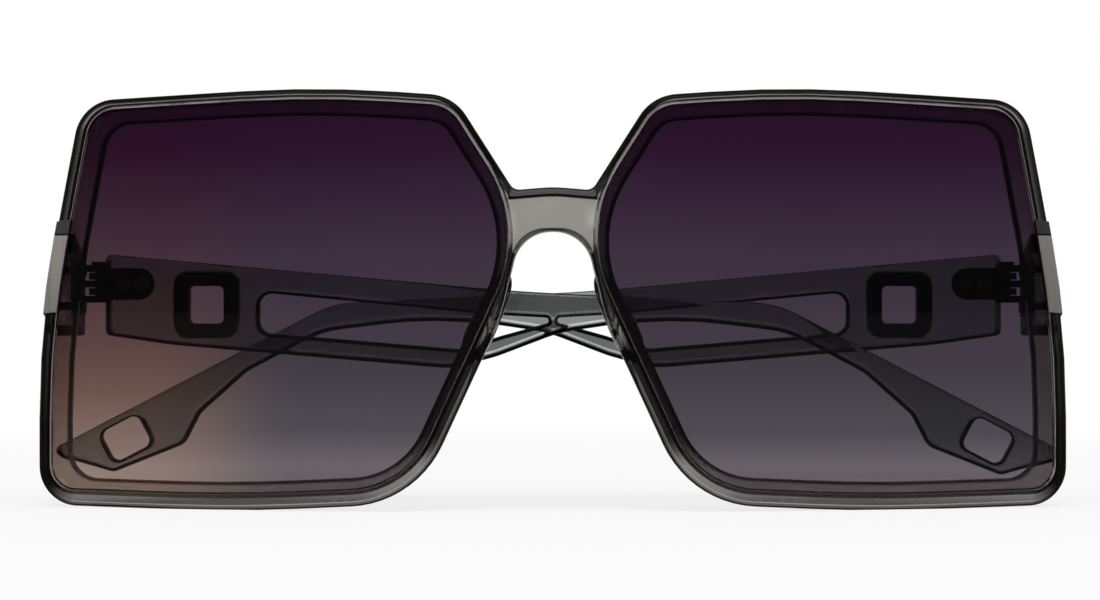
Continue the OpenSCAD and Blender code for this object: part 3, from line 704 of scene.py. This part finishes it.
# Outer edge of the rim at a height: the upper and lower side edges, joined by an arc
def outlineX(z):
    loop = roundCorners(rimCorners, 0.5)
    right = loop[loop[:, 0] > endBlock["sideFrom"]]
    order = np.argsort(right[:, 1])
    return np.interp(z, right[order, 1], right[order, 0])


# Upper and lower edges of the endpiece slope from the rim down to the arm's head
def endHeights(y):
    startY = ballY(front["faceR"], hingeX + hinge["inward"], ballZ) - endBlock["startBack"]
    t = (y - startY) / (buttY - startY)
    (lowA, lowB), (topA, topB) = endBlock["low"], endBlock["top"]
    return (hingeZ - arm["headH"] * (lowA + (lowB - lowA) * t),
            hingeZ + arm["headH"] * (topA + (topB - topA) * t))


# Behind each rim's outer side a block carries the hinge: rounded four-sided sections carried
# back from the rim to the butt face
def makeEndBlocks(s):
    innerX = hingeX + armIn + endBlock["proud"]
    r, gap = endBlock["round"], endBlock["gap"]
    rows = [(y, 0, endBlock["shade"]) for y in endBlock["rows"]]
    rows += [(buttY - ahead, inset, endBlock["buttShade"]) for ahead, inset in endBlock["buttRows"]]
    for side in (1, -1):
        rings, loops = [], []
        for y, inset, shade in rows:
            low, top = endHeights(y)
            low, top = low + inset, top - inset
            xs = outlineX(np.array([top, low])) - inset
            corners = [[innerX + inset, top, r], [xs[0], top, r], [xs[1], low, r],
                       [innerX + inset, low, r]]
            loop = roundCorners(corners, endBlock["spacing"], endBlock["like"])
            depths = np.full(len(loop), float(y))
            if not rings:
                depths = ballY(front["faceR"] - front["rimT"], loop[:, 0], loop[:, 1]) + gap
            loops.append(loop * (side, 1))
            rings.append(s.ring(np.insert(loops[-1], 1, depths + frontY, 1), shade))
        s.skin(rings)
        walls = [(loops, rings)]
        s.cap(walls, 0, lambda g: put(g, front["rimT"]) + (0, gap, 0), endBlock["grid"])
        s.cap(walls, -1, lambda g: np.insert(g, 1, buttY + frontY, 1), endBlock["grid"])


lensEdge = {"round": 0.15, "soft": 0.04, "spacing": 1.6, "grid": 2.4}


# A closed shell between two balls, whose edge is a profile carried round the lens outline
# grown by the bite
def makeLens(side):
    s = Shell()
    near = front["lipT"] + front["fit"]
    far = front["lipT"] + front["lensT"] - front["fit"]
    r, soft = lensEdge["round"], lensEdge["soft"]
    rows = [(-r, near), (-soft, near + soft), (0, near + r), (0, far - r), (-soft, far - soft),
            (-r, far)]
    loops = [roundCorners(grow(lensCorners, front["lensBite"] + w), lensEdge["spacing"],
                          lensCorners) * (signs[side], 1) for w, _ in rows]
    rings = [s.ring(put(loop, d)) for loop, (_, d) in zip(loops, rows)]
    s.skin(rings)
    s.cap([(loops, rings)], 0, lambda g: put(g, near), lensEdge["grid"])
    s.cap([(loops, rings)], -1, lambda g: put(g, far), lensEdge["grid"])
    piece = s.build(f"graded_lens_{side}", lensPaint)
    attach(piece, "front")
    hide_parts(f"lens_{side}")


print("front")
makeFront()
for side in signs:
    makeLens(side)

pad = {"length": 13.0, "r": 2.3, "topShare": 0.7, "taper": 1.3, "flat": 0.92, "sunk": 0.25,
       "heightShare": 0.451, "onRim": 0.88, "gap": 0.02, "across": 20, "along": 28}


# A drop: its radius runs from the larger lower end to the smaller upper end as a smooth
# blend times the root of 1 - t^4, and its back is cut flat against the rim
def makePad(side):
    z = lensLow + pad["heightShare"] * front["lensH"]
    a, b = rimCorners[6:]
    x = edgeX(a, b, z) + pad["onRim"] * front["rims"][6]
    lean = math.atan2(b[0] - a[0], b[1] - a[1])
    sag = pad["length"] ** 2 / (8 * front["faceR"])
    y = ballY(front["faceR"] - front["rimT"], x, z) + sag + pad["gap"]
    n, m = pad["across"], pad["along"]
    t = -np.cos(np.linspace(0, math.pi, m + 1))[1:-1]
    around = np.linspace(0, 2 * math.pi, n, endpoint=False)
    rise = (0.5 + 0.5 * t) ** pad["taper"]
    radius = pad["r"] * (1 - (1 - pad["topShare"]) * rise) * (1 - t ** 4) ** 0.5
    px = radius[:, None] * np.cos(around)[None] * pad["flat"]
    py = radius[:, None] * np.sin(around)[None]
    py = np.maximum(py + pad["sunk"] * pad["r"], 0.0)
    pz = np.repeat((t * pad["length"] / 2)[:, None], n, 1)
    zx = px * math.cos(lean) + pz * math.sin(lean)
    zz = -px * math.sin(lean) + pz * math.cos(lean)
    turn = math.asin(x / front["faceR"])
    wx = zx * math.cos(turn) - py * math.sin(turn) + x
    wy = zx * math.sin(turn) + py * math.cos(turn) + y + frontY
    grid = np.stack([wx * signs[side], wy, zz + z], 2)
    s = Shell()
    rings = [s.ring(row) for row in grid]
    s.skin(rings)
    for row, ring in ((grid[0], rings[0]), (grid[-1], rings[-1])):
        tip = s.ring(row.mean(0)[None])[0]
        s.faces += [[int(p), int(q), int(tip)] for p, q in zip(ring, np.roll(ring, -1))]
    piece = s.build(f"drop_pad_{side}", padPlastic)
    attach(piece, "front")
    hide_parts(f"nose_pad_{side}")


print("nose pads")
for side in signs:
    makePad(side)

armTop = [[-0.01, 0.362, 0], [0.437, -0.092, 25], [0.706, -0.235, 1.2]]
armTip = [[1, 0.857, 0.07], [0.991, 0.914, 0.1], [0.938, 1, 0.13], [0.863, 0.833, 0.2],
          [0.846, 0.649, 0.17], [0.797, 0.404, 0.4]]
armLow = [[0.717, -0.58, 1.2], [0.611, -0.429, 5], [0.539, -0.487, 2.5], [0.48, -0.588, 1.7],
          [0.415, -0.874, 1.2], [0.368, -1.025, 1], [0.073, -0.739, 5], [-0.01, -0.62, 0]]
armSlot = [[0.1645, -0.101, 0.15], [0.408, -0.37, 2.5], [0.484, -0.42, 0.035],
           [0.418, -0.63, 0.7], [0.375, -0.79, 0.4], [0.1645, -0.588, 0.15]]
ornament = {"along": 0.109, "drop": 0.252, "w": 0.773, "h": 0.807, "bar": 2.1, "fit": 0.04,
            "round": 0.35, "outerRound": 0.24, "innerRound": 0.08, "proud": 0.02,
            "spacing": 1.2, "grid": 0.9}
window = {"along": 0.925, "drop": 0.8, "l": 0.253, "h": 0.2, "lean": -27.5, "round": 0.25,
          "cornerRound": 0.25}
ringMid = [ornament["along"] * arm["length"], hingeZ - ornament["drop"] * arm["headH"]]
ringW, ringH = ornament["w"] * arm["headH"], ornament["h"] * arm["headH"]
bendZ = hingeZ - arm["bend"] * arm["headH"]
quarter = np.radians(np.linspace(0, 90, 6))

# Line shares of painted shade and highlight from the face over the round: over and ledge where
# the edge of the arm and of the slot faces up, under where they face down, sill and framed in the
# window. Rows on the face have their full width between the two places in room.
armShade = {"over": (0, 0, 0, 0, 0, 0, 0.2, 0.8, 1),
            "under": (0, -1, -0.9, -0.1, 0.9, 1, 1, 1, 1),
            "ledge": (0, 0, 0.3, 1, 1, 1, 1, 1, 1),
            "framed": (0, -0.8, -0.6, 0.6, 1, 1, 1, 1, 1),
            "sill": (0, 0.7, 1, 1, 1, 1, 1, 1, 1),
            "faceRows": (0.35, 0.2, 0.05), "least": 0.02, "room": (22, 119), "roomFade": 4}


# Corners: shares of the arm's length and head height, or on the tail of its drop
def armPoint(share, leastRound=0.06):
    s, z, r = share
    return [s * arm["length"], hingeZ + z * arm["headH"], max(r, leastRound) * arm["headH"]]


def tailPoint(share):
    s, z, r = share
    return [s * arm["length"], bendZ - z * arm["tailDrop"], r * arm["headH"]]


# Rectangle with a corner radius, as clockwise corners, turned about its middle
def plaque(mid, w, h, r, lean=0.0):
    x = np.array([-w, w, w, -w]) / 2
    z = np.array([h, h, -h, -h]) / 2
    a = math.radians(lean)
    return np.stack([mid[0] + x * math.cos(a) - z * math.sin(a),
                     mid[1] + x * math.sin(a) + z * math.cos(a), np.full(4, r)], 1)


# Distance of the arm's outer face from the pivot's line: straight stretches of the plan,
# averaged over the run-in so that they pass into each other smoothly
def outerFace(s):
    length, half = arm["length"], arm["runIn"] / 2
    at = [-5, arm["headTo"], arm["barFrom"] * length, arm["barTo"] * length,
          arm["tailFrom"] * length, length + 5]
    value = [arm["headT"], arm["headT"], arm["barT"], arm["barT"], arm["tailT"], arm["tailT"]]
    return armIn + np.mean([np.interp(s + d, at, value) for d in np.linspace(-half, half, 7)], 0)


# Arm point (s, z) at a distance a from the pivot's line, folded to its place. The end at the
# hinge is mitred by the splay.
def folded(side, p, a):
    near = np.clip(1 - p[:, 0] / arm["mitre"], 0, 1)
    s = p[:, 0] + (a - armIn) * math.tan(math.radians(arm["splay"])) * near
    turn = foldRight if side == "right" else foldLeft
    x = s * math.cos(turn) - a * math.sin(turn)
    y = s * math.sin(turn) + a * math.cos(turn)
    return np.stack([signs[side] * (hingeX - x), y + hingeY + frontY, p[:, 1]], 1)


# A plate whose outline is carried from its inner to its outer face with a quarter round at
# each edge. The slot, the seat of the ring and the window are carried through it. Edges that
# face down get painted shade with a painted pale highlight above them, the look of a thick clear
# plate lit from above.
def makeArm(side):
    shell = Shell()
    outline = np.array([armPoint(c) for c in armTop] + [tailPoint(c) for c in armTip]
                       + [armPoint(c) for c in armLow])
    outline[[0, -1], 0] = arm["start"]
    outline[[0, -1], 2] = arm["startRound"]
    slot = np.array([armPoint(c, 0) for c in armSlot])
    fit = 2 * ornament["fit"]
    seat = plaque(ringMid, ringW + fit, ringH + fit, ornament["outerRound"] * ringW)
    high = window["h"] * arm["tailDrop"]
    windowMid = [window["along"] * arm["length"], bendZ - window["drop"] * arm["tailDrop"]]
    hole = plaque(windowMid, window["l"] * arm["tailDrop"], high, window["cornerRound"] * high,
                  window["lean"])
    innerA = armIn + arm["proud"]
    walls = []
    for corners, r, sign, upward, downward in (
            (outline, arm["round"], -1, "over", "under"),
            (slot, arm["slotRound"], 1, "ledge", "under"),
            (seat, arm["seatRound"], 1, "over", "under"),
            (hole, window["round"], 1, "sill", "framed")):
        edge = roundCorners(corners, arm["spacing"])
        n = outward(edge)
        down = np.clip(0.5 + 2.2 * sign * n[:, 1], 0, 1)
        spread = np.full((len(edge), 1), armShade["least"] if corners is seat else 1.0)
        if corners is hole:  # widest towards the head and below
            ahead = np.clip(-2.5 * n[:, 0] - 1.1, 0, 1)
            down = down * (1 - ahead)
            spread = (0.6 - 0.45 * down + 0.7 * ahead)[:, None]
        if corners is outline:  # less room beside the ring and the window
            s = edge[:, :1]
            head, tail = armShade["room"]
            spread *= np.clip(np.minimum(s - head, tail - s) / armShade["roomFade"],
                              armShade["least"], 1)
        shades = [u + (d - u) * down for u, d in zip(armShade[upward], armShade[downward])]
        rows = [(r + w, innerA, None) for w in armShade["faceRows"]]
        rows += [(r * (1 - math.sin(t)), innerA + r * (1 - math.cos(t)), None) for t in quarter]
        rows += [(r * (1 - math.cos(t)), None, r * (1 - math.sin(t))) for t in quarter]
        rows += [(r + w, None, 0) for w in armShade["faceRows"][::-1]]
        loops, rings = [], []
        for (inset, inside, outside), e in zip(rows, shades + shades[::-1]):
            loop, further = (roundCorners(grow(corners, sign * w), arm["spacing"], corners)
                             for w in (min(inset, r), inset))
            loop = loop + (further - loop) * spread
            a = outerFace(loop[:, 0]) - outside if inside is None else inside
            loops.append(loop)
            rings.append(shell.ring(folded(side, loop, a), e))
        shell.skin(rings)
        walls.append((loops, rings))
    shell.cap(walls, 0, lambda g: folded(side, g, innerA), arm["grid"])
    shell.cap(walls, -1, lambda g: folded(side, g, outerFace(g[:, 0])), arm["grid"])
    piece = shell.build(f"side_arm_{side}", armPlastic)
    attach(piece, f"{side}_arm")
    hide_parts(f"temple_{side}")


# The ring in the arm's head: the same, with a hole of its own
def makeRing(side):
    shell = Shell()
    r, bars = ornament["round"], 2 * ornament["bar"]
    low, high = armIn - ornament["proud"], armIn + arm["barT"] + ornament["proud"]
    outer = plaque(ringMid, ringW, ringH, ornament["outerRound"] * ringW)
    inner = plaque(ringMid, ringW - bars, ringH - bars, ornament["innerRound"] * ringW)
    walls = []
    for corners, sign in ((outer, -1), (inner, 1)):
        rows = [(r * (1 - math.sin(t)), low + r * (1 - math.cos(t))) for t in quarter]
        rows += [(r * (1 - math.cos(t)), high - r * (1 - math.sin(t))) for t in quarter]
        loops = [roundCorners(grow(corners, sign * w), ornament["spacing"], corners)
                 for w, _ in rows]
        rings = [shell.ring(folded(side, loop, d)) for loop, (_, d) in zip(loops, rows)]
        shell.skin(rings)
        walls.append((loops, rings))
    shell.cap(walls, 0, lambda g: folded(side, g, low), ornament["grid"])
    shell.cap(walls, -1, lambda g: folded(side, g, high), ornament["grid"])
    piece = shell.build(f"ornament_ring_{side}", ringMetal)
    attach(piece, f"{side}_arm")
    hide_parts(f"temple_ring_{side}")


print("side arms")
for side in signs:
    makeArm(side)
    makeRing(side)

print("metal")
for name, paint in (("end_trim", plateMetal), ("front_hinge", hingeMetal),
                    ("front_hinge_screws", screwMetal), ("pivot_screw", screwMetal),
                    ("temple_hinge", hingeMetal), ("temple_hinge_screws", screwMetal)):
    for side in signs:
        mesh = nodes[f"{name}_{side}"].data
        mesh.materials.clear()
        mesh.materials.append(paint)

# In metres: white by the distance from the middle, behind by y squared, mirrored grey by y
floorSheet = {"reach": 1.2, "points": 24, "colour": (0.86, 0.86, 0.86), "white": (0.06, 0.35),
              "behind": (0.0004, 0.012), "cameraShare": 0.78, "throughShare": 0.8,
              "mirrored": (-0.02, 0.3, 0.06, 0.8)}


# A flat sheet. It shows nearly white to the camera and through clear plastic, and keeps the
# shadow. Polished faces see it dark in front, as they see the room.
def makeFloor():
    n = floorSheet["points"]
    line = np.linspace(-1, 1, n) * floorSheet["reach"]
    gx, gy = np.meshgrid(line, line)
    points = np.stack([gx.ravel(), gy.ravel(), np.zeros(n * n)], 1)
    i = np.arange(n * n).reshape(n, n)
    faces = np.stack([i[:-1, :-1], i[:-1, 1:], i[1:, 1:], i[1:, :-1]], 2).reshape(-1, 4)
    mesh = bpy.data.meshes.new("floor")
    mesh.from_pydata(points.tolist(), [], faces.tolist())
    floor = newObject("floor", mesh)
    material, p = newMaterial("white floor")
    camera, glossy, through = p.rays()
    x, y, _ = p.axes(p.place())
    away = p.node("ShaderNodeMath", {"operation": "SQRT"}, {0: x * x + y * y})
    far = p.smooth(away, *floorSheet["white"])
    behind = p.smooth(y * y, *floorSheet["behind"])
    close = camera * floorSheet["cameraShare"] + through * behind * floorSheet["throughShare"]
    share = p.smooth(far, 0.0, 1.0, close, p.clampedSum(camera, through))
    share = p.clampedSum(share, glossy - through)
    colour = p.blend(glossy, (1.0, 1.0, 1.0), p.grey(p.smooth(y, *floorSheet["mirrored"])))
    colour = p.blend(through, colour, (1.0, 1.0, 1.0))  # these rays count as glossy too
    matt = p.node("ShaderNodeBsdfDiffuse", {}, {0: (*floorSheet["colour"], 1)})
    white = p.node("ShaderNodeEmission", {}, {0: colour, 1: 1.0})
    finishMaterial(p, p.node("ShaderNodeMixShader", {}, {0: share, 1: matt, 2: white}))
    mesh.materials.append(material)


# Each wall: two shares of the direction that it begins and ends at, and its two levels
room = {"ends": (0.84, 0.95, 0.07, 1.0), "sides": (0.85, 0.97, 0.0, 0.8),
        "ahead": (0.45, 0.8, 0.26, 0.05), "level": 0.5}


# White to the camera. Rays that clear plastic bends see white only towards the front, the
# back and the sides, so clear edges draw dark lines. Mirrors see a grey room, dark ahead.
def makeWorld():
    world = bpy.data.worlds.new("room")
    bpy.context.scene.world = world
    world.use_nodes = True
    p = Paint(world.node_tree)
    x, y, _ = p.axes(p.node("ShaderNodeTexCoord", out=0))
    camera, glossy, through = p.rays()
    bright = p.clampedSum(p.smooth(y * y, *room["ends"]), p.smooth(x * x, *room["sides"]))
    level = p.blend(glossy, (room["level"],) * 3, p.grey(p.smooth(0 - y, *room["ahead"])))
    level = p.blend(through, level, p.grey(bright))
    level = p.blend(camera, level, (1, 1, 1))
    p.node("ShaderNodeOutputWorld", {}, {
        "Surface": p.node("ShaderNodeBackground", {}, {0: level, 1: 1.0})})


lamps = {"soft box above": {"at": (0, -0.25, 0.75), "size": (0.7, 0.35), "power": 2.4},
         "strip left": {"at": (-0.55, -0.35, 0.30), "size": (0.12, 0.5), "power": 0.8},
         "strip right": {"at": (0.6, -0.25, 0.25), "size": (0.12, 0.5), "power": 0.95}}
lampAim = (0, 0, 0.03)


def makeLamp(name, at, size, power):
    data = bpy.data.lights.new(name, "AREA")
    data.shape = "RECTANGLE"
    data.size, data.size_y = size
    data.energy = power
    lamp = newObject(name, data)
    lamp.location = at
    lamp.rotation_euler = (Vector(lampAim) - Vector(at)).to_track_quat("-Z", "Y").to_euler()


view = {"focal": 95.6, "sensor": 36.0, "aside": -0.0004, "away": 0.400, "height": 0.0292}


def makeCamera():
    data = bpy.data.cameras.new("camera")
    data.lens, data.sensor_width = view["focal"], view["sensor"]
    data.clip_start, data.clip_end = 0.01, 20.0
    camera = newObject("camera", data)
    camera.location = (view["aside"], frontY * mm - view["away"], view["height"])
    camera.rotation_euler = (math.pi / 2, 0, 0)
    bpy.context.scene.camera = camera


print("stage")
makeFloor()
makeWorld()
for name, lamp in lamps.items():
    makeLamp(name, **lamp)
makeCamera()
bpy.context.scene.view_settings.view_transform = "Standard"
